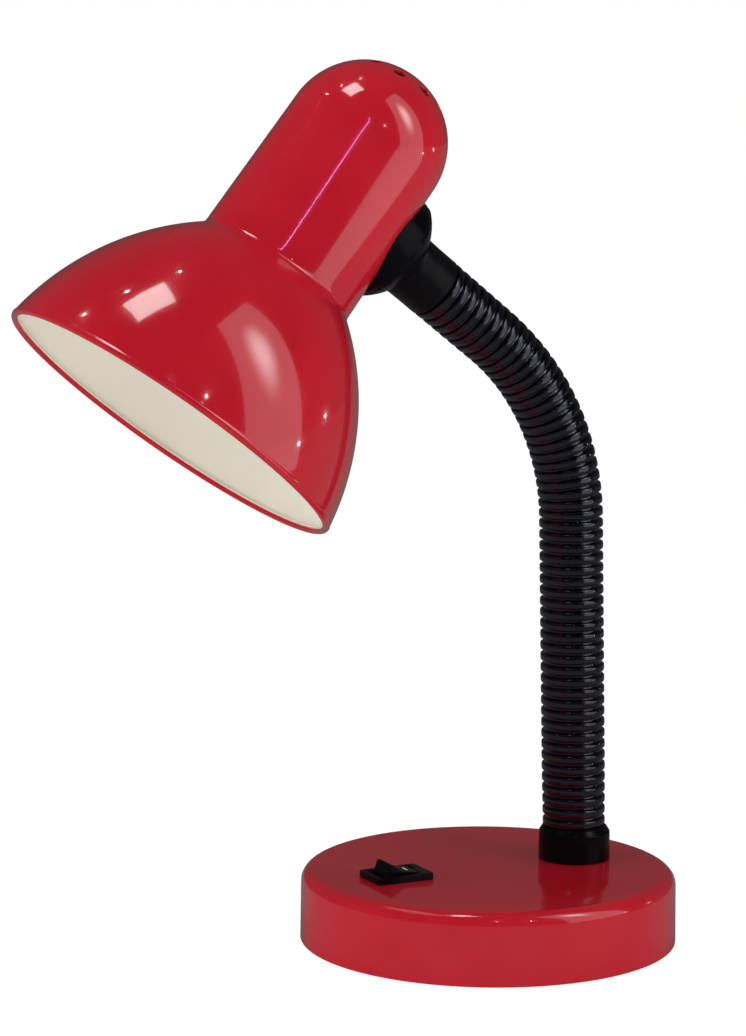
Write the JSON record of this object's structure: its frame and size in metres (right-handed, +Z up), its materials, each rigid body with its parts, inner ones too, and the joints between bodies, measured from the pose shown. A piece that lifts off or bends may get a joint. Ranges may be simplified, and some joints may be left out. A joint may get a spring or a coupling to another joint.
{
  "type": "gooseneck desk lamp",
  "caption": "Desk lamp with a weighted round base, rocker switch, ribbed flexible neck and a bell shade with a vented dome over a screw-in bulb.",
  "frame": {"origin": "centre of the base's underside, where the lamp stands on the table", "axes": "+Z up, -Y the way the light points, X = 0 the plane of symmetry"},
  "size_m": [0.14, 0.253, 0.3258],
  "materials": {
    "red_enamel": "high-gloss red enamel on spun steel",
    "black_gloss": "moulded black plastic, polished",
    "sleeve_black": "corrugated black PVC sleeve, semi-gloss",
    "steel": "zinc-plated steel",
    "iron": "as cast, blackened",
    "pad_rubber": "matt foam rubber",
    "pale_plastic": "natural nylon",
    "brass": "pressed brass",
    "insulation": "PVC wire insulation",
    "holder_black": "moulded thermoset",
    "opal_glass": "opal glass",
    "clear_glass": "clear glass",
    "tungsten": "drawn wire",
    "aluminium": "rolled screw cap",
    "bulb_black": "black vitrite"
  },
  "bodies": {
    "base": {"base_shell": "red_enamel", "base_pad": "pad_rubber", "base_cover": "steel", "ballast_plate": "iron", "cover_screws": "steel", "inlet_bush": "black_gloss", "terminal_block": "pale_plastic", "terminal_screws": "brass", "switch_housing": "black_gloss", "switch_contacts": "brass", "switch_wires": "insulation", "base_lead": "insulation", "base_collar": "black_gloss", "neck_nut": "steel", "neck_sleeve_1": "sleeve_black", "neck_core_1": "steel"},
    "switch_rocker": {"rocker": "black_gloss"},
    "neck_link_1": {"neck_sleeve_2": "sleeve_black", "neck_core_2": "steel", "neck_lead_2": "insulation"},
    "neck_link_2": {"neck_sleeve_3": "sleeve_black", "neck_core_3": "steel", "neck_lead_3": "insulation"},
    "neck_link_3": {"neck_sleeve_4": "sleeve_black", "neck_core_4": "steel", "neck_lead_4": "insulation"},
    "neck_link_4": {"neck_sleeve_5": "sleeve_black", "neck_core_5": "steel", "neck_lead_5": "insulation"},
    "neck_link_5": {"neck_sleeve_6": "sleeve_black", "neck_core_6": "steel", "neck_lead_6": "insulation"},
    "neck_link_6": {"neck_sleeve_7": "sleeve_black", "neck_core_7": "steel", "neck_lead_7": "insulation"},
    "neck_link_7": {"neck_sleeve_8": "sleeve_black", "neck_core_8": "steel", "neck_lead_8": "insulation"},
    "head": {"neck_sleeve_9": "sleeve_black", "neck_core_9": "steel", "head_ferrule": "black_gloss", "knuckle": "black_gloss", "head_nut": "steel", "shade": "red_enamel", "holder_bracket": "steel", "holder_nipple": "steel", "holder_locknut": "steel", "holder_cap": "holder_black", "holder_body": "holder_black", "holder_insert": "holder_black", "screw_shell": "brass", "centre_contact": "brass", "head_wires": "insulation"},
    "bulb": {"bulb_glass": "opal_glass", "bulb_stem": "clear_glass", "bulb_filament": "tungsten", "bulb_cap": "aluminium", "bulb_insulator": "bulb_black", "bulb_contact": "aluminium"}
  },
  "joints": [
    {"name": "neck_sway_1", "type": "hinge", "parent": "base", "child": "neck_link_1", "pos_m": [0, 0.03607, 0.05407], "axis": [0, 0.9997, 0.0262], "range_deg": [-14, 14]},
    {"name": "neck_nod_2", "type": "hinge", "parent": "neck_link_1", "child": "neck_link_2", "pos_m": [0, 0.0353, 0.08342], "axis": [1, 0, 0], "range_deg": [-22, 12]},
    {"name": "neck_sway_3", "type": "hinge", "parent": "neck_link_2", "child": "neck_link_3", "pos_m": [0, 0.03453, 0.11276], "axis": [0, 0.9997, 0.0262], "range_deg": [-14, 14]},
    {"name": "neck_nod_4", "type": "hinge", "parent": "neck_link_3", "child": "neck_link_4", "pos_m": [0, 0.03376, 0.14211], "axis": [1, 0, 0], "range_deg": [-22, 12]},
    {"name": "neck_sway_5", "type": "hinge", "parent": "neck_link_4", "child": "neck_link_5", "pos_m": [0, 0.03176, 0.17135], "axis": [0, 0.9817, 0.1902], "range_deg": [-14, 14]},
    {"name": "neck_nod_6", "type": "hinge", "parent": "neck_link_5", "child": "neck_link_6", "pos_m": [0, 0.02167, 0.19878], "axis": [1, 0, 0], "range_deg": [-22, 12]},
    {"name": "neck_sway_7", "type": "hinge", "parent": "neck_link_6", "child": "neck_link_7", "pos_m": [0, 0.0034, 0.2216], "axis": [0, 0.67, 0.7423], "range_deg": [-14, 14]},
    {"name": "neck_nod_8", "type": "hinge", "parent": "neck_link_7", "child": "head", "pos_m": [0, -0.01957, 0.23988], "axis": [1, 0, 0], "range_deg": [-22, 12]},
    {"name": "rocker_tilt", "type": "hinge", "parent": "base", "child": "switch_rocker", "pos_m": [0, -0.0384, 0.027], "axis": [1, 0, 0], "range_deg": [0, 20]},
    {"name": "bulb_removal", "type": "slide", "parent": "head", "child": "bulb", "axis": [0, -0.617, -0.7869], "range_m": [0, 0.03]}
  ]
}
